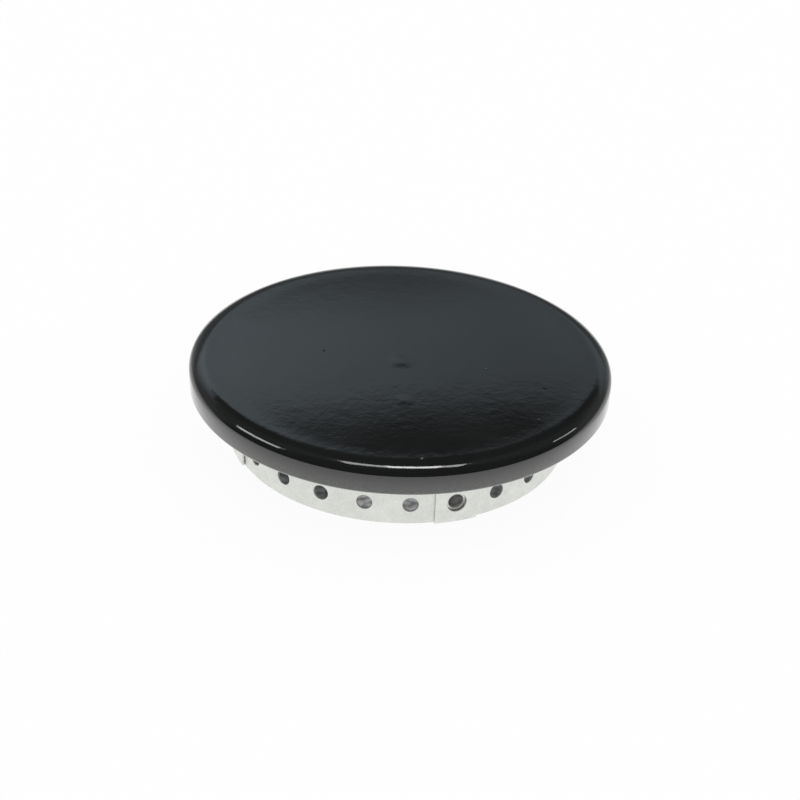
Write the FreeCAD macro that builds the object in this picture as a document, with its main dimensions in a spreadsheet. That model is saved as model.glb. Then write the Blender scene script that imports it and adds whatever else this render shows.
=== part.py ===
import FreeCAD
import Part
import math
import os
import re
import Sketcher

# Gas burner cap: an enamelled dish that closes a perforated flame ring from above.
# A thin carrier plate lies on the ring, with lugs that reach down outside it. A rivet under
# the middle of the dish holds the plate's raised panel. Millimetres, +Z up, origin at the
# centre of the ring's lower edge, one lug towards -Y.

DIMENSIONS = {
    # Flame ring, a rolled strip with a row of ports
    "ring_bore": 55.0,
    "ring_height": 10.8,
    "ring_sheet": 0.4,
    "port_diameter": 2.5,
    "port_height": 3.5,
    "ports_per_lug": 6,
    # Carrier plate on top of the ring
    "carrier_sheet": 0.4,
    "flange_width": 4.0,
    "panel_slope": 4.0,
    "panel_rise": 1.6,
    "lug_count": 4,
    "lug_width": 7.0,
    "lug_clearance": 0.05,
    "lug_hole_clearance": 0.35,
    # Enamelled cap over the carrier plate
    "cap_overhang": 7.1,
    "cap_wall": 1.8,
    "rim_corner": 1.2,
    "side_height": 2.5,
    "rim_lip": 0.6,
    "rim_inner_corner": 0.8,
    "shoulder_run": 1.6,
    "shoulder_rise": 0.5,
    "border_width": 3.0,
    "crown_rise": 0.3,
    # Rivet under the middle of the cap
    "rivet_diameter": 5.0,
    "rivet_clearance": 0.1,
    "rivet_overlap": 2.0,
    "rivet_head_edge": 0.4,
    "rivet_head_dome": 0.8,
}

FULL_TURN = 360.0
RING_OUTSIDE = "ring_bore / 2 + ring_sheet"

document = FreeCAD.newDocument("gas_burner_cap")
sizes = document.addObject("Spreadsheet::Sheet", "sizes")
for row, (alias, value) in enumerate(DIMENSIONS.items(), start=1):
    sizes.set(f"A{row}", alias)
    sizes.set(f"B{row}", str(value))
    sizes.setAlias(f"B{row}", alias)
document.recompute()


def named(formula):
    """Write a formula's size names as cells of the sheet."""
    for alias in DIMENSIONS:
        formula = re.sub(rf"\b{alias}\b", f"sizes.{alias}", formula)
    return formula


def number(formula):
    return float(sizes.evalExpression(named(formula)))


def new_body(label):
    body = document.addObject("PartDesign::Body", label)
    body.Label = label
    return body


def new_sketch(body, name, plane_role):
    sketch = body.newObject("Sketcher::SketchObject", name)
    plane = next(item for item in body.Origin.OriginFeatures if item.Role == plane_role)
    sketch.AttachmentSupport = [(plane, "")]
    sketch.MapMode = "FlatFace"
    return sketch


def bind_point(sketch, edge, end, across, up):
    """Tie one end of an edge to its two coordinates, on an axis where a coordinate is zero."""
    for kind, axis, formula in (("DistanceX", -2, across), ("DistanceY", -1, up)):
        if formula == "0":
            sketch.addConstraint(Sketcher.Constraint("PointOnObject", edge, end, axis))
        else:
            distance = Sketcher.Constraint(kind, -1, 1, edge, end, number(formula))
            index = sketch.addConstraint(distance)
            sketch.setExpression(f"Constraints[{index}]", named(formula))


def bind_radius(sketch, edge, formula):
    index = sketch.addConstraint(Sketcher.Constraint("Radius", edge, number(formula)))
    sketch.setExpression(f"Constraints[{index}]", named(formula))


def draw_arc(sketch, start, end, radius, turns_left):
    """Add the shorter arc from start to end, and say which of its ends is the start."""
    chord = end - start
    half = chord.Length / 2
    to_centre = FreeCAD.Vector(-chord.y, chord.x, 0).normalize()
    if not turns_left:
        to_centre = -to_centre
    centre = (start + end) / 2 + to_centre * math.sqrt(max(radius ** 2 - half ** 2, 0))
    first, last = (start, end) if turns_left else (end, start)
    angles = [math.atan2(point.y - centre.y, point.x - centre.x) for point in (first, last)]
    circle = Part.Circle(centre, FreeCAD.Vector(0, 0, 1), radius)
    edge = sketch.addGeometry(Part.ArcOfCircle(circle, *angles))
    return edge, (1 if turns_left else 2)


def draw_outline(sketch, corners):
    """Draw a closed outline of straight edges and arcs.

    Each corner is (across, up), or (across, up, turn, radius) where the edge to the next
    corner is an arc that turns "left" or "right".
    """
    points = [FreeCAD.Vector(number(corner[0]), number(corner[1]), 0) for corner in corners]
    edges = []
    for index, corner in enumerate(corners):
        start = points[index]
        end = points[(index + 1) % len(points)]
        if len(corner) == 2:
            edges.append((sketch.addGeometry(Part.LineSegment(start, end)), 1))
        else:
            edges.append(draw_arc(sketch, start, end, number(corner[3]), corner[2] == "left"))
    for index, (edge, start_end) in enumerate(edges):
        next_edge, next_start = edges[(index + 1) % len(edges)]
        joint = Sketcher.Constraint("Coincident", edge, 3 - start_end, next_edge, next_start)
        sketch.addConstraint(joint)
        bind_point(sketch, edge, start_end, *corners[index][:2])
        if len(corners[index]) == 4:
            bind_radius(sketch, edge, corners[index][3])


def draw_circle(sketch, across, up, radius):
    centre = FreeCAD.Vector(number(across), number(up), 0)
    circle = Part.Circle(centre, FreeCAD.Vector(0, 0, 1), number(radius))
    edge = sketch.addGeometry(circle)
    bind_point(sketch, edge, 3, across, up)
    bind_radius(sketch, edge, radius)


def revolve(body, name, corners, seam_angle="0"):
    """Turn a half section about the vertical axis, with its seam at an angle from +X."""
    sketch = new_sketch(body, f"{name}_section", "XZ_Plane")
    section_up = FreeCAD.Vector(0, 1, 0)
    seam_turn = FreeCAD.Rotation(section_up, number(seam_angle))
    sketch.AttachmentOffset = FreeCAD.Placement(FreeCAD.Vector(), seam_turn)
    sketch.setExpression("AttachmentOffset.Rotation.Angle", named(seam_angle))
    draw_outline(sketch, corners)
    turned = body.newObject("PartDesign::Revolution", name)
    turned.Profile = sketch
    turned.ReferenceAxis = (sketch, ["V_Axis"])
    turned.Angle = FULL_TURN
    document.recompute()
    return turned


def drill_wall(body, name, height, radius):
    """Drill a round hole through the wall on the -Y side."""
    sketch = new_sketch(body, f"{name}_outline", "XZ_Plane")
    draw_circle(sketch, "0", height, radius)
    hole = body.newObject("PartDesign::Pocket", name)
    hole.Profile = sketch
    hole.Type = "ThroughAll"
    hole.Reversed = True
    before = body.Shape.Volume
    document.recompute()
    if not hole.Shape.Volume < before:
        raise RuntimeError(f"{name} cuts nothing")
    return hole


def repeat_round(body, name, features, count):
    """Repeat features evenly round the vertical axis."""
    pattern = body.newObject("PartDesign::PolarPattern", name)
    pattern.Originals = features
    axis = next(item for item in body.Origin.OriginFeatures if item.Role == "Z_Axis")
    pattern.Axis = (axis, [""])
    pattern.Angle = FULL_TURN
    pattern.setExpression("Occurrences", named(count))
    body.Tip = pattern
    document.recompute()


def make_flame_ring():
    body = new_body("flame_ring")
    inner = "ring_bore / 2"
    port_count = "lug_count * ports_per_lug"
    strip = [
        (inner, "0"),
        (RING_OUTSIDE, "0"),
        (RING_OUTSIDE, "ring_height"),
        (inner, "ring_height"),
    ]
    revolve(body, "strip", strip, f"{FULL_TURN} / ({port_count}) / 2")
    port = drill_wall(body, "port", "port_height", "port_diameter / 2")
    repeat_round(body, "ports", [port], port_count)
    return body


def make_carrier_plate():
    """Press the plate with a raised panel: underside from the bore outwards, then the top."""
    body = new_body("carrier_plate")
    bore = "rivet_diameter / 2 + rivet_clearance"
    inner = f"{RING_OUTSIDE} + lug_clearance"
    outer = f"{inner} + carrier_sheet"
    flange = "ring_height"
    panel = "ring_height + panel_rise"
    slope_foot = f"{RING_OUTSIDE} - flange_width"
    slope_middle = f"{slope_foot} - panel_slope / 2"
    panel_edge = f"{slope_foot} - panel_slope"
    middle_height = f"{flange} + panel_rise / 2"
    # Two equal arcs make the slope, and the sheet keeps its thickness across them.
    bend = "((panel_slope ^ 2 + panel_rise ^ 2) / (4 * panel_rise))"
    top_middle = f"{slope_middle} + carrier_sheet * panel_slope / 2 / {bend}"
    top_middle_height = f"{middle_height} + carrier_sheet * ({bend} - panel_rise / 2) / {bend}"
    revolve(body, "plate", [
        (bore, panel),
        (panel_edge, panel, "right", bend),
        (slope_middle, middle_height, "left", bend),
        (slope_foot, flange),
        (outer, flange, "left", "carrier_sheet"),
        (inner, f"{flange} + carrier_sheet"),
        (slope_foot, f"{flange} + carrier_sheet", "right", f"{bend} - carrier_sheet"),
        (top_middle, top_middle_height, "left", f"{bend} + carrier_sheet"),
        (panel_edge, f"{panel} + carrier_sheet"),
        (bore, f"{panel} + carrier_sheet"),
    ])
    make_lugs(body, inner, outer)
    return body


def make_lugs(body, inner, outer):
    """Bend the lugs down outside the ring, with a hole in each over one of the ports."""
    half = "lug_width / 2"
    inner_reach = f"sqrt(({inner}) ^ 2 - ({half}) ^ 2)"
    outer_reach = f"sqrt(({outer}) ^ 2 - ({half}) ^ 2)"
    sketch = new_sketch(body, "lug_outline", "XY_Plane")
    draw_outline(sketch, [
        (f"0 - {half}", f"0 - {outer_reach}", "left", outer),
        (half, f"0 - {outer_reach}"),
        (half, f"0 - {inner_reach}", "right", inner),
        (f"0 - {half}", f"0 - {inner_reach}"),
    ])
    lug = body.newObject("PartDesign::Pad", "lug")
    lug.Profile = sketch
    lug.setExpression("Length", named("ring_height"))
    document.recompute()
    hole = drill_wall(body, "lug_hole", "port_height", "port_diameter / 2 + lug_hole_clearance")
    repeat_round(body, "lugs", [lug, hole], "lug_count")


def make_enamelled_cap():
    """Press the dish: crown, flat border, shoulder, side, lip and underside, from the axis outwards."""
    body = new_body("enamelled_cap")
    outer = f"{RING_OUTSIDE} + cap_overhang"
    inner = f"{outer} - cap_wall"
    side_top = "rim_lip + side_height"
    inner_lip = "cap_wall - rim_lip"
    crest = f"{side_top} + rim_corner + shoulder_rise"
    underside = f"{crest} - cap_wall"
    crest_reach = f"{outer} - rim_corner - shoulder_run"
    crown_reach = f"{crest_reach} - border_width"
    crown_radius = f"(({crown_reach}) ^ 2 + crown_rise ^ 2) / (2 * crown_rise)"
    # The shoulder's arc is level at the crest and runs on into the corner's arc.
    arm = "((shoulder_run ^ 2 + shoulder_rise ^ 2) / (2 * shoulder_rise))"
    join_reach = f"{outer} - rim_corner + rim_corner * shoulder_run / {arm}"
    join_height = f"{side_top} + rim_corner * ({arm} - shoulder_rise) / {arm}"
    revolve(body, "dish", [
        ("0", f"{crest} + crown_rise", "right", crown_radius),
        (crown_reach, crest),
        (crest_reach, crest, "right", f"rim_corner + {arm}"),
        (join_reach, join_height, "right", "rim_corner"),
        (outer, side_top),
        (outer, "rim_lip", "right", "rim_lip"),
        (f"{outer} - rim_lip", "0", "right", inner_lip),
        (inner, inner_lip),
        (inner, f"{underside} - rim_inner_corner", "left", "rim_inner_corner"),
        (f"{inner} - rim_inner_corner", underside),
        ("0", underside),
    ])
    rim_height = f"ring_height + panel_rise + carrier_sheet - ({underside})"
    body.setExpression("Placement.Base.z", named(rim_height))
    return body


def make_centre_rivet():
    """The shank fills the carrier's bore up to the cap, and the head holds the plate."""
    body = new_body("centre_rivet")
    shank = "rivet_diameter / 2"
    head = f"{shank} + rivet_overlap"
    head_height = "rivet_head_dome + rivet_head_edge"
    dome_radius = f"(({head}) ^ 2 + rivet_head_dome ^ 2) / (2 * rivet_head_dome)"
    revolve(body, "rivet", [
        ("0", "0", "left", dome_radius),
        (head, "rivet_head_dome"),
        (head, head_height),
        (shank, head_height),
        (shank, f"{head_height} + carrier_sheet"),
        ("0", f"{head_height} + carrier_sheet"),
    ])
    body.setExpression("Placement.Base.z", named(f"ring_height + panel_rise - ({head_height})"))
    return body


sub_parts = [make_flame_ring(), make_carrier_plate(), make_enamelled_cap(), make_centre_rivet()]
document.recompute()

for item in document.Objects:
    if "Invalid" in item.State or "Error" in item.State:
        raise RuntimeError(f"{item.Label} failed: {item.State}")
for sub_part in sub_parts:
    if sub_part.Shape.isNull() or not sub_part.Shape.isValid():
        raise RuntimeError(f"{sub_part.Label} has no valid shape")

os.makedirs("parts", exist_ok=True)
for sub_part in sub_parts:
    sub_part.Shape.exportStep(os.path.join("parts", f"{sub_part.Label}.step"))
    print(f"{sub_part.Label}: {sub_part.Shape.Volume:.1f} mm3")
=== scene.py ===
import cmath
import math

import bmesh
import bpy
from mathutils import Matrix, Vector


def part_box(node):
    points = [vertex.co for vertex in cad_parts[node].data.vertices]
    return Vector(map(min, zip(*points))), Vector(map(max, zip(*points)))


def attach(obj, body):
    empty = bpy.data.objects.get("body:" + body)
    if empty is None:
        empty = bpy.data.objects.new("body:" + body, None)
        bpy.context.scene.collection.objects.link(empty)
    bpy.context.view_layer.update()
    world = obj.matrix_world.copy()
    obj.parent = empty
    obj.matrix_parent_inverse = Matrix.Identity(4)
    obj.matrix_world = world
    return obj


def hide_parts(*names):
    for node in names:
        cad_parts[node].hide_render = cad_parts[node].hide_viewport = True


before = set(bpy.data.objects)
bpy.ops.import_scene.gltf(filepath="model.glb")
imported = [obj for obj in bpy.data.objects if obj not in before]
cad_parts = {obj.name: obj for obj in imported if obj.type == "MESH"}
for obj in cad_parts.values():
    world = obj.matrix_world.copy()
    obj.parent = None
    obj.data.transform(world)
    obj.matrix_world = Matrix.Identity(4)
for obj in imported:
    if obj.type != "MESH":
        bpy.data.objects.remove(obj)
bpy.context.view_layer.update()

# A gas burner cap: a black enamelled dish over a bright perforated flame ring. A thin carrier
# plate lies on the ring, with lugs that reach down outside it, and a rivet holds the plate
# under the middle of the dish. Metres, in the frame of the solids, one lug towards -Y.

MM = 0.001

# Outer sizes, from the solids
cap_low, cap_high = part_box("enamelled_cap")
_, ring_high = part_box("flame_ring")
_, carrier_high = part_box("carrier_plate")
rivet_low, rivet_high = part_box("centre_rivet")
CAP_RADIUS = cap_high.x
RING_RADIUS = ring_high.x
RING_HEIGHT = ring_high.z
LUG_RADIUS = carrier_high.x
RIVET_HEAD_RADIUS = rivet_high.x

# Sections of the sheet, the ports and the lugs
SHEET = 0.4 * MM
SHEET_EDGE = 0.06 * MM
PORT_RADIUS = 1.25 * MM
PORT_HEIGHT = 3.5 * MM
PORT_COUNT = 24
LUG_COUNT = 4
LUG_WIDTH = 7.0 * MM
LUG_HOLE_RADIUS = 1.6 * MM

# Carrier plate
FLANGE_WIDTH = 4.0 * MM
PANEL_SLOPE = 4.0 * MM
PANEL_RISE = 1.6 * MM

# Enamelled cap: the border is a shallow valley round the crown, and BORDER_LIFT is the slope at its edge
CAP_WALL = 1.8 * MM
RIM_CORNER = 1.2 * MM
RIM_LIP = 0.6 * MM
RIM_INNER_CORNER = 0.8 * MM
SHOULDER_RUN = 1.6 * MM
SHOULDER_RISE = 0.5 * MM
BORDER_WIDTH = 3.0 * MM
BORDER_LIFT = math.radians(0.12)
BORDER_EDGE = 0.7 * MM
CROWN_RISE = 0.3 * MM

# Rivet
RIVET_SHANK = 2.5 * MM
RIVET_CLEARANCE = 0.1 * MM
RIVET_HEAD_DOME = 0.8 * MM

# Fineness of the meshes
ARC_STEP = math.radians(5)
LONGEST_STEP = 1.2 * MM
CAP_DIVISIONS = 320
RIVET_DIVISIONS = 96
FLOOR_DIVISIONS = 128
STEPS_BETWEEN_LUGS = 48
SHARP_ANGLE = math.radians(38)
ON_AXIS = SHEET_EDGE / 100
WELD_REACH = SHEET_EDGE / 50

# The photograph's view: the front lug lies to the right of the line of sight.
LUG_TURN = math.radians(20.09)
VIEW_ELEVATION = math.radians(30.616)
VIEW_ROLL = math.radians(-2.373)
VIEW_SHIFT = Vector((-0.353 * MM, -5.175 * MM, -326.63 * MM))
LENS = 86.63
to_part = Matrix.Rotation(-LUG_TURN, 4, "Z")


def arc_points(start, end, radius, turn):
    """Points along the shorter arc from start to just before end, which turns left or right."""
    quarter_turn = 1j if turn == "left" else -1j
    half = (end - start) / 2
    rise = math.sqrt(max(radius ** 2 - abs(half) ** 2, 0))
    centre = start + half + quarter_turn * rise * half / abs(half)
    sweep = 2 * math.asin(min(abs(half) / radius, 1))
    steps = max(math.ceil(sweep / ARC_STEP), math.ceil(sweep * radius / LONGEST_STEP))
    spoke = start - centre
    return [centre + spoke * cmath.exp(quarter_turn * sweep * step / steps) for step in range(steps)]


def line_points(start, end):
    """Points along a straight line from start to just before end."""
    steps = math.ceil(abs(end - start) / LONGEST_STEP)
    return [start + (end - start) * step / steps for step in range(steps)]


def trace(corners, closed):
    """Follow an outline of (radius, height) corners. A corner with a turn and a radius starts an arc.

    The points are complex numbers on the way, radius and height in one.
    """
    points = []
    ends = corners[1:] + corners[:1] if closed else corners[1:]
    for corner, following in zip(corners, ends):
        start = complex(*corner[:2])
        end = complex(*following[:2])
        if len(corner) == 4:
            points += arc_points(start, end, corner[3], corner[2])
        else:
            points += line_points(start, end)
    if not closed:
        points.append(complex(*corners[-1][:2]))
    return [(point.real, point.imag) for point in points]


def on_circle(radius, angle, height):
    """A point at an angle from -Y, counted towards +X."""
    return Vector((radius * math.sin(angle), -radius * math.cos(angle), height))


def lathe(mesh, outline, angles, closed):
    """Turn an outline about the vertical axis. A point on the axis is one vertex."""
    rows = []
    for radius, height in outline:
        if radius < ON_AXIS:
            rows.append([mesh.verts.new((0, 0, height))] * len(angles))
        else:
            rows.append([mesh.verts.new(on_circle(radius, angle, height)) for angle in angles])
    following = rows[1:] + rows[:1] if closed else rows[1:]
    for row, next_row in zip(rows, following):
        for index in range(len(angles)):
            beside = (index + 1) % len(angles)
            corners = [row[index], row[beside], next_row[beside], next_row[index]]
            mesh.faces.new(list(dict.fromkeys(corners)))


def even_angles(count):
    return [math.tau * index / count for index in range(count)]


class WallPatch:
    """A patch of a round sheet wall with a round hole drilled through it.

    Its sides are "low", "right", "high" and "left", seen from outside. A side in cut_sides is
    a cut edge of the sheet, and the others are left open to join what is beside them.
    """

    # Steps along the sides, and loops of the skin as shares of the way from the hole to the border
    ACROSS = 16
    UP = 22
    LOOPS = (0.0, 0.05, 0.14, 0.3, 0.52, 0.76, 1.0)
    # Places of the edges' materials in the piece's list, after the plain skin
    SHEARED = 1
    DRILLED = 2

    def __init__(self, middle, half_angle, low, high, outside, hole_radius, cut_sides):
        self.middle = middle
        self.half_angle = half_angle
        self.low = low
        self.high = high
        self.outside = outside
        self.hole_radius = hole_radius
        self.cut_sides = cut_sides

    def border(self, inset):
        """Points round the patch from its low left corner, as (angle, height), and their sides."""
        turn = inset / self.outside
        left = -self.half_angle + turn * ("left" in self.cut_sides)
        right = self.half_angle - turn * ("right" in self.cut_sides)
        low = self.low + inset * ("low" in self.cut_sides)
        high = self.high - inset * ("high" in self.cut_sides)
        corners = [(left, low), (right, low), (right, high), (left, high)]
        sides = [("low", self.ACROSS), ("right", self.UP), ("high", self.ACROSS), ("left", self.UP)]
        points = []
        for index, (side, count) in enumerate(sides):
            start = Vector(corners[index])
            end = Vector(corners[(index + 1) % len(corners)])
            points += [(start.lerp(end, step / count), side) for step in range(count)]
        return points

    def hole(self, radius, depth_radius, count):
        """Points round the hole, in step with the border."""
        first = math.atan2(self.low - PORT_HEIGHT, -self.half_angle * self.outside)
        points = []
        for index in range(count):
            around = first + math.tau * index / count
            across = math.asin(radius * math.cos(around) / depth_radius)
            points.append(Vector((across, PORT_HEIGHT + radius * math.sin(around))))
        return points

    def add_to(self, mesh):
        """Build both skins from the hole to the border, then the hole's wall and the cut edges."""
        outside = self.outside
        inside = outside - SHEET
        border = self.border(SHEET_EDGE)
        edge = self.border(0)
        count = len(border)
        skins = {}
        for radius in (outside, inside):
            rim = self.hole(self.hole_radius + SHEET_EDGE, radius, count)
            skins[radius] = [
                self.loop(mesh, radius, [a.lerp(b, share) for a, (b, _) in zip(rim, border)])
                for share in self.LOOPS
            ]
            for first, second in zip(skins[radius], skins[radius][1:]):
                self.bridge(mesh, first, second)
        drill = [skins[outside][0]]
        for radius in (outside - SHEET_EDGE, inside + SHEET_EDGE):
            drill.append(self.loop(mesh, radius, self.hole(self.hole_radius, radius, count)))
        drill.append(skins[inside][0])
        cut = [skins[outside][-1]]
        for radius in (outside - SHEET_EDGE, inside + SHEET_EDGE):
            cut.append(self.loop(mesh, radius, [point for point, _ in edge]))
        cut.append(skins[inside][-1])
        closed = [side in self.cut_sides for _, side in border]
        for first, second in zip(drill, drill[1:]):
            self.bridge(mesh, first, second, material_index=self.DRILLED)
        for first, second in zip(cut, cut[1:]):
            self.bridge(mesh, first, second, closed, self.SHEARED)

    def loop(self, mesh, radius, points):
        return [mesh.verts.new(on_circle(radius, self.middle + angle, height)) for angle, height in points]

    @staticmethod
    def bridge(mesh, first, second, wanted=None, material_index=0):
        """Join two loops with faces, all the way round or only at the wanted steps."""
        for index in range(len(first)):
            beside = (index + 1) % len(first)
            if wanted is None or wanted[index]:
                face = mesh.faces.new([first[index], first[beside], second[beside], second[index]])
                face.material_index = material_index


def finish_piece(mesh, name, node, materials):
    """Weld and smooth a mesh, and let it stand for the solid of the named node."""
    bmesh.ops.remove_doubles(mesh, verts=mesh.verts, dist=WELD_REACH)
    loose = [vertex for vertex in mesh.verts if not vertex.link_faces]
    bmesh.ops.delete(mesh, geom=loose, context="VERTS")
    bmesh.ops.recalc_face_normals(mesh, faces=mesh.faces)
    data = bpy.data.meshes.new(name)
    mesh.to_mesh(data)
    mesh.free()
    data.shade_smooth()
    data.set_sharp_from_angle(angle=SHARP_ANGLE)
    for material in materials:
        data.materials.append(material)
    piece = bpy.data.objects.new(name, data)
    bpy.context.scene.collection.objects.link(piece)
    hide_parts(node)
    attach(piece, "root")


def make_cap_dish(enamel, ground_coat):
    """Press the dish: crown, border, shoulder, side, lip and underside, from the axis outwards."""
    materials = [enamel, ground_coat]
    outer = CAP_RADIUS
    inner = outer - CAP_WALL
    top = cap_high.z
    crest = top - CROWN_RISE
    underside = carrier_high.z
    lip = cap_low.z
    arm = (SHOULDER_RUN ** 2 + SHOULDER_RISE ** 2) / (2 * SHOULDER_RISE)
    side_top = crest - RIM_CORNER - SHOULDER_RISE
    join_reach = outer - RIM_CORNER + RIM_CORNER * SHOULDER_RUN / arm
    join_height = side_top + RIM_CORNER * (arm - SHOULDER_RISE) / arm
    lip_reach = outer - RIM_LIP
    inner_lip = lip_reach - inner
    # The crown falls into a shallow valley, and the enamel lifts a little towards the crest.
    crest_reach = outer - RIM_CORNER - SHOULDER_RUN
    crown_reach = crest_reach - BORDER_WIDTH
    valley_width = BORDER_WIDTH - BORDER_EDGE
    crown_fall = (2 * CROWN_RISE + BORDER_WIDTH * BORDER_LIFT) / (crown_reach + valley_width)
    valley = valley_width / (math.sin(crown_fall) + math.sin(BORDER_LIFT))
    lift = BORDER_EDGE / math.sin(BORDER_LIFT)
    lift_reach = crest_reach - BORDER_EDGE
    lift_height = crest - lift * (1 - math.cos(BORDER_LIFT))
    crown_edge = lift_height - valley * (math.cos(crown_fall) - math.cos(BORDER_LIFT))
    crown_drop = top - crown_edge
    crown_radius = (crown_reach ** 2 + crown_drop ** 2) / (2 * crown_drop)
    outline = trace([
        (0, top, "right", crown_radius),
        (crown_reach, crown_edge, "left", valley),
        (lift_reach, lift_height, "right", lift),
        (crest_reach, crest, "right", RIM_CORNER + arm),
        (join_reach, join_height, "right", RIM_CORNER),
        (outer, side_top),
        (outer, lip + RIM_LIP, "right", RIM_LIP),
        (lip_reach, lip, "right", inner_lip),
        (inner, lip + inner_lip),
        (inner, underside - RIM_INNER_CORNER, "left", RIM_INNER_CORNER),
        (inner - RIM_INNER_CORNER, underside),
        (0, underside),
    ], closed=False)
    mesh = bmesh.new()
    lathe(mesh, outline, even_angles(CAP_DIVISIONS), closed=False)
    for face in mesh.faces:
        middle = face.calc_center_median()
        if middle.xy.length < lip_reach and middle.z < underside + CAP_WALL / 2:
            face.material_index = materials.index(ground_coat)
    finish_piece(mesh, "cap_dish", "enamelled_cap", materials)


def make_port_ring(steels):
    """Roll the strip and drill its ports, one patch for each port."""
    mesh = bmesh.new()
    half_pitch = math.pi / PORT_COUNT
    for index in range(PORT_COUNT):
        middle = 2 * half_pitch * index
        patch = WallPatch(middle, half_pitch, 0, RING_HEIGHT, RING_RADIUS, PORT_RADIUS, ("low", "high"))
        patch.add_to(mesh)
    finish_piece(mesh, "port_ring", "flame_ring", steels)


def make_lug_carrier(steels):
    """Press the plate with its raised panel, and bend the lugs down from its edge."""
    mesh = bmesh.new()
    inner = LUG_RADIUS - SHEET
    flange = RING_HEIGHT
    panel = flange + PANEL_RISE
    slope_foot = RING_RADIUS - FLANGE_WIDTH
    panel_edge = slope_foot - PANEL_SLOPE
    slope_middle = Vector((slope_foot - PANEL_SLOPE / 2, flange + PANEL_RISE / 2))
    bend = (PANEL_SLOPE ** 2 + PANEL_RISE ** 2) / (4 * PANEL_RISE)
    through_sheet = Vector((PANEL_SLOPE / 2, bend - PANEL_RISE / 2)) * SHEET / bend
    bore = RIVET_SHANK + RIVET_CLEARANCE
    outline = trace([
        (bore, panel),
        (panel_edge, panel, "right", bend),
        (*slope_middle, "left", bend),
        (slope_foot, flange),
        (inner, flange),
        (LUG_RADIUS, flange, "left", SHEET),
        (inner, flange + SHEET),
        (slope_foot, flange + SHEET, "right", bend - SHEET),
        (*(slope_middle + through_sheet), "left", bend + SHEET),
        (panel_edge, panel + SHEET),
        (bore, panel + SHEET),
    ], closed=True)
    half_lug = math.asin(LUG_WIDTH / 2 / LUG_RADIUS)
    quarter = math.tau / LUG_COUNT
    lug_step = 2 * half_lug / WallPatch.ACROSS
    space_step = (quarter - 2 * half_lug) / STEPS_BETWEEN_LUGS
    cut_sides = ("low", "left", "right")
    angles = []
    for index in range(LUG_COUNT):
        middle = quarter * index
        angles += [middle - half_lug + lug_step * step for step in range(WallPatch.ACROSS)]
        angles += [middle + half_lug + space_step * step for step in range(STEPS_BETWEEN_LUGS)]
        patch = WallPatch(middle, half_lug, 0, flange, LUG_RADIUS, LUG_HOLE_RADIUS, cut_sides)
        patch.add_to(mesh)
    lathe(mesh, outline, angles, closed=True)
    finish_piece(mesh, "lug_carrier", "carrier_plate", steels)


def make_stud(steel):
    """The shank stands under the dish, and its hammered head holds the carrier plate."""
    head_top = carrier_high.z - SHEET
    dome_radius = (RIVET_HEAD_RADIUS ** 2 + RIVET_HEAD_DOME ** 2) / (2 * RIVET_HEAD_DOME)
    outline = trace([
        (0, rivet_low.z, "left", dome_radius),
        (RIVET_HEAD_RADIUS, rivet_low.z + RIVET_HEAD_DOME),
        (RIVET_HEAD_RADIUS, head_top - SHEET_EDGE),
        (RIVET_HEAD_RADIUS - SHEET_EDGE, head_top),
        (RIVET_SHANK, head_top),
        (RIVET_SHANK, rivet_high.z),
        (0, rivet_high.z),
    ], closed=False)
    mesh = bmesh.new()
    lathe(mesh, outline, even_angles(RIVET_DIVISIONS), closed=False)
    finish_piece(mesh, "hammered_stud", "centre_rivet", [steel])


def add_node(tree, kind, inputs=None, **settings):
    """Add a node, set its options, and give each input a value or a link."""
    made = tree.nodes.new(kind)
    for name, value in settings.items():
        setattr(made, name, value)
    for name, value in (inputs or {}).items():
        if isinstance(value, bpy.types.NodeSocket):
            tree.links.new(value, made.inputs[name])
        else:
            made.inputs[name].default_value = value
    return made


def ramp(tree, value, ends, start, finish):
    """A smooth change from start to finish while the value crosses from one end to the other."""
    made = add_node(tree, "ShaderNodeMapRange", {
        "Value": value,
        "From Min": ends[0],
        "From Max": ends[1],
        "To Min": start,
        "To Max": finish,
    }, interpolation_type="SMOOTHSTEP")
    return made.outputs["Result"]


def arithmetic(tree, operation, *values):
    made = add_node(tree, "ShaderNodeMath", dict(enumerate(values)), operation=operation)
    return made.outputs[0]


def blend(tree, factor, first, second, kind="RGBA", **settings):
    mixed = {"Factor": factor, "A": first, "B": second}
    made = add_node(tree, "ShaderNodeMix", mixed, data_type=kind, **settings)
    return made.outputs["Result"]


def noise(tree, point, scale, detail):
    made = add_node(tree, "ShaderNodeTexNoise", {"Vector": point, "Scale": scale, "Detail": detail})
    return made.outputs["Fac"]


def distance(tree, point, centre):
    made = add_node(tree, "ShaderNodeVectorMath", {0: point, 1: centre}, operation="DISTANCE")
    return made.outputs["Value"]


def new_group(name, values, results):
    """Start a node group with number inputs, each with its usual value, and number outputs."""
    group = bpy.data.node_groups.new(name, "ShaderNodeTree")
    for label, value in values.items():
        socket = group.interface.new_socket(label, in_out="INPUT", socket_type="NodeSocketFloat")
        socket.default_value = value
    for label in results:
        group.interface.new_socket(label, in_out="OUTPUT", socket_type="NodeSocketFloat")
    return group, add_node(group, "NodeGroupInput"), add_node(group, "NodeGroupOutput")


def new_material(name):
    material = bpy.data.materials.new(name)
    material.use_nodes = True
    tree = material.node_tree
    tree.nodes.clear()
    return material, tree


def place(tree):
    """The point on the piece, in the part's frame."""
    return add_node(tree, "ShaderNodeTexCoord").outputs["Object"]


# Noises of the enamel's skin and of the sheet: scale for each metre, and detail
SKIN_NOISES = {"Wave": (200, 1.0), "Peel": (850, 2.0), "Grain": (2600, 1.0)}
SHEET_GRAIN = (2600, 3)
SHEET_CLOUDS = (420, 2)


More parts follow.
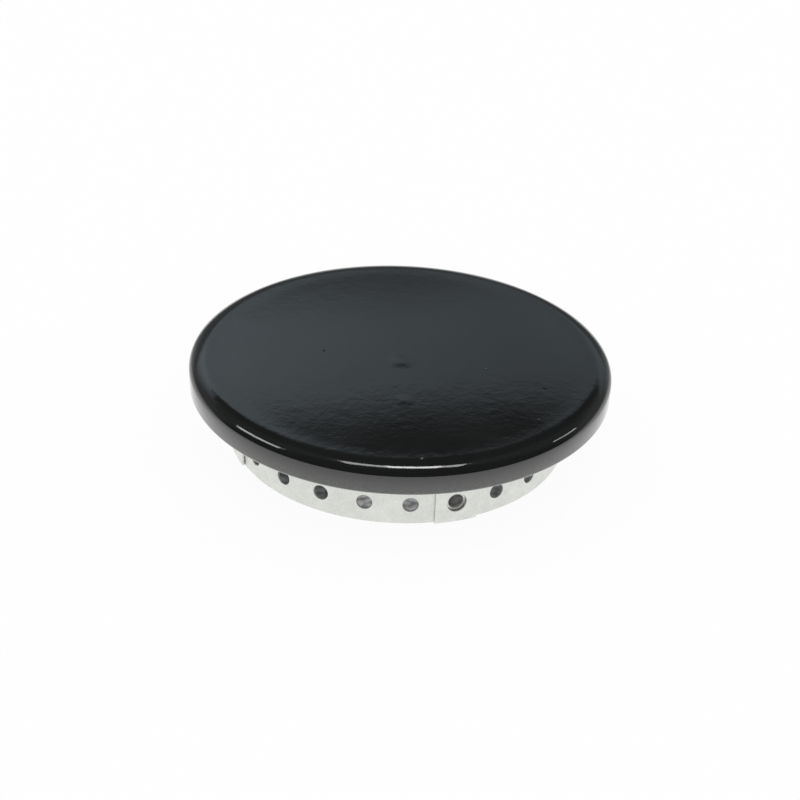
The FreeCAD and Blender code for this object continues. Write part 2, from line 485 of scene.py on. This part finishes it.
def enamel_skin_group():
    """Slow waves, orange peel and fine grain of fired enamel, as one height in millimetres."""
    group, values, results = new_group(
        "enamel_skin",
        {"Wave": 0.01, "Peel": 0.01, "Grain": 0.0},
        ["Height"],
    )
    point = place(group)
    total = 0.0
    for label, settings in SKIN_NOISES.items():
        ripple = noise(group, point, *settings)
        total = arithmetic(group, "MULTIPLY_ADD", ripple, values.outputs[label], total)
    group.links.new(total, results.inputs["Height"])
    return group


def sheet_mottle_group():
    """Fine mottling of satin sheet, as a shade about 1 and a height."""
    group, values, results = new_group(
        "sheet_mottle",
        {"Grain Size": 1.0, "Contrast": 0.1},
        ["Shade", "Height"],
    )
    point = place(group)
    scale, detail = SHEET_GRAIN
    grain = noise(group, point, arithmetic(group, "DIVIDE", scale, values.outputs["Grain Size"]), detail)
    clouds = noise(group, point, *SHEET_CLOUDS)
    mixed = arithmetic(group, "ADD", grain, clouds)
    centred = arithmetic(group, "SUBTRACT", mixed, 1.0)
    shade = arithmetic(group, "MULTIPLY_ADD", centred, values.outputs["Contrast"], 1.0)
    group.links.new(shade, results.inputs["Shade"])
    group.links.new(grain, results.inputs["Height"])
    return group


ENAMEL_IOR = 1.7
# Smudges on the enamel: their noise, how much they lighten it, and the values that change its gloss
SMUDGE = (90, 4)
SMUDGE_LIGHTER = 1.4
SMUDGE_SPREAD = (0.3, 0.7)
# The side turns lighter grey in speckles towards the lip: heights, colour, and the speckles' noise
LIP_SPECKLE_HEIGHTS = (cap_low.z + 0.2 * MM, cap_low.z + 3.2 * MM)
LIP_SPECKLE_COLOUR = (0.054, 0.064, 0.048, 1)
SPECKLE = (3600, 1)
SPECKLE_SPREAD = (0.36, 0.64)
SPECKLE_LEAST = 0.1
# Heights between which a clear coat on the lip fades out up the rim
RIM_COAT = (cap_low.z + 0.2 * MM, cap_low.z + 4.8 * MM)
# Small flaws of the enamel, in millimetres: place, radius and height
ENAMEL_FLAWS = {
    "weld_mark": (-0.7, -2.2, 3.0, 0.045),
    "front_sag": (-4.35, -14.2, 2.2, 0.012),
    "front_nib": (-7.28, -31.08, 0.35, 0.14),
    "right_nib": (14.33, -25.26, 0.3, 0.045),
    "small_nib": (11.89, -8.33, 0.25, 0.06),
    "right_pit": (18.81, -16.94, 0.5, -0.03),
    "left_pit": (-11.98, 4.47, 0.4, -0.02),
}


def flaw_height(tree, point, across, along, radius, height):
    """A round rise or dent of the enamel, smooth at its edge."""
    level = add_node(tree, "ShaderNodeVectorMath", {0: point, 1: (1, 1, 0)}, operation="MULTIPLY")
    reach = distance(tree, level.outputs[0], (across * MM, along * MM, 0))
    return ramp(tree, reach, (0, radius * MM), height, 0.0)


def enamel_material(name, skin_group, skin, colour, roughness, flaws, rim_coat):
    """Fired enamel with its skin and flaws, lighter grey and speckled towards the lip."""
    material, tree = new_material(name)
    point = place(tree)
    height = add_node(tree, "ShaderNodeGroup", skin, node_tree=skin_group).outputs["Height"]
    for flaw in flaws.values():
        height = arithmetic(tree, "ADD", height, flaw_height(tree, point, *flaw))
    bump = add_node(tree, "ShaderNodeBump", {"Height": height, "Distance": MM})
    smudge = noise(tree, point, *SMUDGE)
    lighter = [part * SMUDGE_LIGHTER for part in colour]
    base = blend(tree, smudge, (*colour, 1), (*lighter, 1))
    up = add_node(tree, "ShaderNodeSeparateXYZ", {"Vector": point}).outputs["Z"]
    # Lighter grey speckles down the side, fading out above the lip.
    speckle = ramp(tree, noise(tree, point, *SPECKLE), SPECKLE_SPREAD, SPECKLE_LEAST, 1.0)
    lip_speckle = arithmetic(tree, "MULTIPLY", ramp(tree, up, LIP_SPECKLE_HEIGHTS, 1.0, 0.0), speckle)
    shader = add_node(tree, "ShaderNodeBsdfPrincipled", {
        "Base Color": blend(tree, lip_speckle, base, LIP_SPECKLE_COLOUR),
        "Roughness": ramp(tree, smudge, SMUDGE_SPREAD, *roughness),
        "IOR": ENAMEL_IOR,
        "Coat Weight": ramp(tree, up, RIM_COAT, rim_coat, 0.0),
        "Normal": bump.outputs["Normal"],
    })
    add_node(tree, "ShaderNodeOutputMaterial", {"Surface": shader.outputs["BSDF"]})
    return material


def steel_material(name, mottle_group, colour, roughness, grain_size, contrast, relief, metallic=1.0):
    """Bare steel, whose mottle changes its shade and dullness and raises a fine relief."""
    material, tree = new_material(name)
    look = {"Grain Size": grain_size, "Contrast": contrast}
    mottle = add_node(tree, "ShaderNodeGroup", look, node_tree=mottle_group).outputs
    bump = add_node(tree, "ShaderNodeBump", {"Height": mottle["Height"], "Distance": relief})
    shader = add_node(tree, "ShaderNodeBsdfPrincipled", {
        "Base Color": blend(tree, 1.0, (*colour, 1), mottle["Shade"], blend_type="MULTIPLY"),
        "Metallic": metallic,
        "Roughness": arithmetic(tree, "MULTIPLY", mottle["Shade"], roughness),
        "Normal": bump.outputs["Normal"],
    })
    add_node(tree, "ShaderNodeOutputMaterial", {"Surface": shader.outputs["BSDF"]})
    return material


# The floor, with painted light inside the ring: a painted shade, an uneven painted glow for the light that
# leaks in under the cap, and a brighter painted patch of light near the front ports
FLOOR_RADIUS = 4.0
FLOOR_SHADE = 0.9
FLOOR_GLOW_SHARE = 0.95
PAINTED_UNDER_CAP_SHADE = 0.5
PAINTED_UNDER_CAP_GLOW = 0.078
PAINTED_LEAK_NOISE = (700, 2)
PAINTED_LEAK_SPREAD = (0.3, 0.7)
PAINTED_LEAK_SHARES = (0.55, 1.5)
PAINTED_PATCH_GLOW = 0.24
PAINTED_PATCH_REACH = 22 * MM
PAINTED_PATCH_TURN = math.radians(23)
PAINTED_PATCH_SIZE = (3.5 * MM, 8 * MM)


def floor_material():
    """White floor that keeps a faint shadow. Inside the ring it has a painted shade and a painted glow for
    the little light that leaks in.
    """
    material, tree = new_material("pale_floor")
    ray = add_node(tree, "ShaderNodeLightPath").outputs
    seen = arithmetic(tree, "MAXIMUM", ray["Is Camera Ray"], ray["Is Glossy Ray"])
    seen = arithmetic(tree, "MAXIMUM", seen, ray["Is Transmission Ray"])
    share = arithmetic(tree, "MULTIPLY", seen, FLOOR_GLOW_SHARE)
    point = place(tree)
    from_axis = distance(tree, point, (0, 0, 0))
    # Inside the ring the floor is painted darker and given a painted glow of leaked light, brighter in a
    # painted patch near the front ports.
    inside = arithmetic(tree, "LESS_THAN", from_axis, RING_RADIUS - SHEET / 2)
    to_patch = distance(tree, point, on_circle(PAINTED_PATCH_REACH, -PAINTED_PATCH_TURN, 0))
    painted_leak = ramp(tree, to_patch, PAINTED_PATCH_SIZE, PAINTED_PATCH_GLOW, PAINTED_UNDER_CAP_GLOW)
    uneven = ramp(tree, noise(tree, point, *PAINTED_LEAK_NOISE), PAINTED_LEAK_SPREAD, *PAINTED_LEAK_SHARES)
    painted_leak = arithmetic(tree, "MULTIPLY", painted_leak, uneven)
    glow = blend(tree, inside, 1.0, painted_leak, kind="FLOAT")
    shade = blend(tree, inside, FLOOR_SHADE, PAINTED_UNDER_CAP_SHADE, kind="FLOAT")
    plain = add_node(tree, "ShaderNodeBsdfDiffuse", {"Color": shade})
    bright = add_node(tree, "ShaderNodeEmission", {"Strength": glow})
    lit = add_node(tree, "ShaderNodeMixShader", {0: share, 1: plain.outputs[0], 2: bright.outputs[0]})
    behind = add_node(tree, "ShaderNodeNewGeometry").outputs["Backfacing"]
    clear = add_node(tree, "ShaderNodeBsdfTransparent")
    sided = add_node(tree, "ShaderNodeMixShader", {0: behind, 1: lit.outputs[0], 2: clear.outputs[0]})
    add_node(tree, "ShaderNodeOutputMaterial", {"Surface": sided.outputs[0]})
    return material


def make_floor():
    mesh = bmesh.new()
    bmesh.ops.create_circle(mesh, cap_ends=True, segments=FLOOR_DIVISIONS, radius=FLOOR_RADIUS)
    data = bpy.data.meshes.new("floor")
    mesh.to_mesh(data)
    mesh.free()
    data.materials.append(floor_material())
    floor = bpy.data.objects.new("floor", data)
    bpy.context.scene.collection.objects.link(floor)


# The room that the enamel mirrors: glows, and bounds in degrees, which are elevations or angles from
# straight behind the cap
WALL_FOOT = (23.8, 28.2)
WALL_FOOT_ARCH = 0.2
WALL_FOOT_LEAN = 0.2
WALL_TOP = (30.9, 33.4)
WALL_TOP_LEAN = 0.15
WALL_SIDES = (18, 44)
WALL_GLOW = (0.293, 0.346, 0.379)
WALL_FADE = 21
WALL_FADE_ENDS = (-12, 5)
PANEL_EDGE = (3, 9)
PANEL_TOP = (26, 30)
PANEL_GLOW = (0.303, 0.36, 0.386, 1)
FOOT_GLOW = (0.121, 0.139, 0.145, 1)
SIDE_TOP = (30, 42)
SIDE_GLOW = (0.16, 0.163, 0.163, 1)
SIDE_DARK = (0.06, 0.061, 0.061, 1)
HALO_TOP = (2, 21)
HALO_MIDDLE = (3, 10)
HALO_SIDES = (18, 42)
HALO_GLOW = (0.9, 0.9, 0.9, 1)
ROOM_END = (55, 90)
ROOM_DARK = (0.003, 0.003, 0.003, 1)
FILL_LIGHT = (0.78, 0.78, 0.78, 1)
CAMERA_WHITE = (1, 1, 1, 1)


def wall_glow(tree, azimuth, elevation, sideways):
    """The wall behind the cap: a dark foot, a pale face that is brighter on the left, and a dark top."""
    from_left = arithmetic(tree, "MAXIMUM", azimuth, WALL_FADE_ENDS[0])
    nearest = arithmetic(tree, "MINIMUM", from_left, WALL_FADE_ENDS[1])
    fade = arithmetic(tree, "EXPONENT", arithmetic(tree, "DIVIDE", nearest, -WALL_FADE))
    face = add_node(tree, "ShaderNodeVectorMath", {0: WALL_GLOW, "Scale": fade}, operation="SCALE")
    right_panel = arithmetic(
        tree,
        "MULTIPLY",
        ramp(tree, azimuth, PANEL_EDGE, 0.0, 1.0),
        ramp(tree, elevation, PANEL_TOP, 1.0, 0.0),
    )
    wall = blend(tree, right_panel, face.outputs[0], PANEL_GLOW)
    above_foot = arithmetic(tree, "MULTIPLY_ADD", sideways, WALL_FOOT_ARCH, elevation)
    above_foot = arithmetic(tree, "MULTIPLY_ADD", from_left, WALL_FOOT_LEAN, above_foot)
    wall = blend(tree, ramp(tree, above_foot, WALL_FOOT, 0.0, 1.0), FOOT_GLOW, wall)
    below_top = arithmetic(tree, "MULTIPLY_ADD", azimuth, WALL_TOP_LEAN, elevation)
    return blend(tree, ramp(tree, below_top, WALL_TOP, 0.0, 1.0), wall, ROOM_DARK)


def room_glow(tree):
    """The room in each direction: the wall, darker sides, and a bright halo near the horizon."""
    direction = add_node(tree, "ShaderNodeTexCoord").outputs["Generated"]
    turned = add_node(
        tree,
        "ShaderNodeVectorRotate",
        {"Vector": direction, "Angle": LUG_TURN},
        rotation_type="Z_AXIS",
    )
    parts = add_node(tree, "ShaderNodeSeparateXYZ", {"Vector": turned.outputs[0]}).outputs
    elevation = arithmetic(tree, "DEGREES", arithmetic(tree, "ARCSINE", parts["Z"]))
    azimuth = arithmetic(tree, "DEGREES", arithmetic(tree, "ARCTAN2", parts["X"], parts["Y"]))
    sideways = arithmetic(tree, "ABSOLUTE", azimuth)
    wall = wall_glow(tree, azimuth, elevation, sideways)
    beside = blend(tree, ramp(tree, elevation, SIDE_TOP, 0.0, 1.0), SIDE_GLOW, SIDE_DARK)
    room = blend(tree, ramp(tree, sideways, WALL_SIDES, 0.0, 1.0), wall, beside)
    halo = arithmetic(
        tree,
        "MAXIMUM",
        ramp(tree, sideways, HALO_MIDDLE, 1.0, 0.0),
        ramp(tree, sideways, HALO_SIDES, 0.0, 1.0),
    )
    halo = arithmetic(tree, "MULTIPLY", halo, ramp(tree, elevation, HALO_TOP, 1.0, 0.0))
    room = blend(tree, halo, room, HALO_GLOW)
    return blend(tree, ramp(tree, sideways, ROOM_END, 0.0, 1.0), room, ROOM_DARK)


def make_room():
    """Reflections show the room, the camera sees white, and other rays meet an even light."""
    world = bpy.data.worlds.new("studio")
    bpy.context.scene.world = world
    world.use_nodes = True
    tree = world.node_tree
    tree.nodes.clear()
    ray = add_node(tree, "ShaderNodeLightPath").outputs
    lit = blend(tree, ray["Is Glossy Ray"], FILL_LIGHT, room_glow(tree))
    seen = blend(tree, ray["Is Camera Ray"], lit, CAMERA_WHITE)
    background = add_node(tree, "ShaderNodeBackground", {"Color": seen})
    add_node(tree, "ShaderNodeOutputWorld", {"Surface": background.outputs[0]})


# Lamps over the cap, in metres: the places of their ends to its right and behind it, width and glow
LAMP_HEIGHT = 1.0
LAMPS = {
    "middle_lamp_left": ((-0.21, 0.13), (-0.03, 0.135), 0.15, 4.3),
    "middle_lamp": ((-0.03, 0.135), (0.16, 0.137), 0.15, 9.6),
    "middle_lamp_right": ((0.16, 0.137), (0.27, 0.14), 0.15, 4.4),
    "left_lamp": ((-0.63, 0.09), (-0.87, 0.4), 0.12, 4.4),
    "right_lamp": ((0.88, 0.43), (1.04, 0.66), 0.075, 3.6),
}


def make_lamp(name, first_end, second_end, width, glow):
    """A flat strip lamp between two places, which faces the cap."""
    first = Vector((*first_end, LAMP_HEIGHT))
    second = Vector((*second_end, LAMP_HEIGHT))
    along = (second - first).normalized()
    middle = (first + second) / 2
    facing = middle.normalized()
    across = facing.cross(along).normalized()
    along = across.cross(facing)
    turn = Matrix((along, across, facing)).transposed().to_4x4()
    data = bpy.data.lights.new(name, "AREA")
    data.shape = "RECTANGLE"
    data.size = (second - first).length
    data.size_y = width
    data.energy = glow * math.pi * data.size * data.size_y
    lamp = bpy.data.objects.new(name, data)
    lamp.matrix_world = to_part @ Matrix.Translation(middle) @ turn
    bpy.context.scene.collection.objects.link(lamp)


def make_camera():
    data = bpy.data.cameras.new("photo_camera")
    data.lens = LENS
    camera = bpy.data.objects.new("photo_camera", data)
    right = Vector((1, 0, 0))
    up = Vector((0, math.sin(VIEW_ELEVATION), math.cos(VIEW_ELEVATION)))
    back = right.cross(up)
    looking = Matrix((right, up, back)).to_4x4()
    to_camera = Matrix.Translation(VIEW_SHIFT) @ Matrix.Rotation(VIEW_ROLL, 4, "Z") @ looking
    camera.matrix_world = to_part @ to_camera.inverted()
    bpy.context.scene.collection.objects.link(camera)
    bpy.context.scene.camera = camera


enamel_skin = enamel_skin_group()
sheet_mottle = sheet_mottle_group()
black_enamel = enamel_material(
    "black_enamel",
    enamel_skin,
    skin={"Wave": 0.01, "Peel": 0.009, "Grain": 0.0001},
    colour=(0.0095, 0.01, 0.01),
    roughness=(0.05, 0.09),
    flaws=ENAMEL_FLAWS,
    rim_coat=1.0,
)
ground_coat = enamel_material(
    "ground_coat",
    enamel_skin,
    skin={"Wave": 0.004, "Peel": 0.008, "Grain": 0.002},
    colour=(0.012, 0.012, 0.013),
    roughness=(0.28, 0.4),
    flaws={},
    rim_coat=0.0,
)
ring_steel = steel_material(
    "ring_steel",
    sheet_mottle,
    colour=(0.735, 0.75, 0.71),
    roughness=0.38,
    grain_size=1.0,
    contrast=0.3,
    relief=0.002 * MM,
)
carrier_steel = steel_material(
    "carrier_steel",
    sheet_mottle,
    colour=(0.75, 0.765, 0.725),
    roughness=0.38,
    grain_size=1.0,
    contrast=0.3,
    relief=0.002 * MM,
)
sheared_steel = steel_material(
    "sheared_steel",
    sheet_mottle,
    colour=(0.78, 0.78, 0.75),
    roughness=0.5,
    grain_size=0.5,
    contrast=0.4,
    relief=0.004 * MM,
)
drilled_steel = steel_material(
    "drilled_steel",
    sheet_mottle,
    colour=(0.7, 0.71, 0.68),
    roughness=0.8,
    grain_size=0.5,
    contrast=0.3,
    relief=0.004 * MM,
    metallic=0.3,
)
rivet_steel = steel_material(
    "rivet_steel",
    sheet_mottle,
    colour=(0.5, 0.5, 0.49),
    roughness=0.4,
    grain_size=4.0,
    contrast=0.3,
    relief=0.02 * MM,
)

make_cap_dish(black_enamel, ground_coat)
make_port_ring([ring_steel, sheared_steel, drilled_steel])
make_lug_carrier([carrier_steel, sheared_steel, drilled_steel])
make_stud(rivet_steel)
make_floor()
make_room()
for lamp_name, lamp_sizes in LAMPS.items():
    make_lamp(lamp_name, *lamp_sizes)
make_camera()
bpy.context.scene.view_settings.view_transform = "Standard"
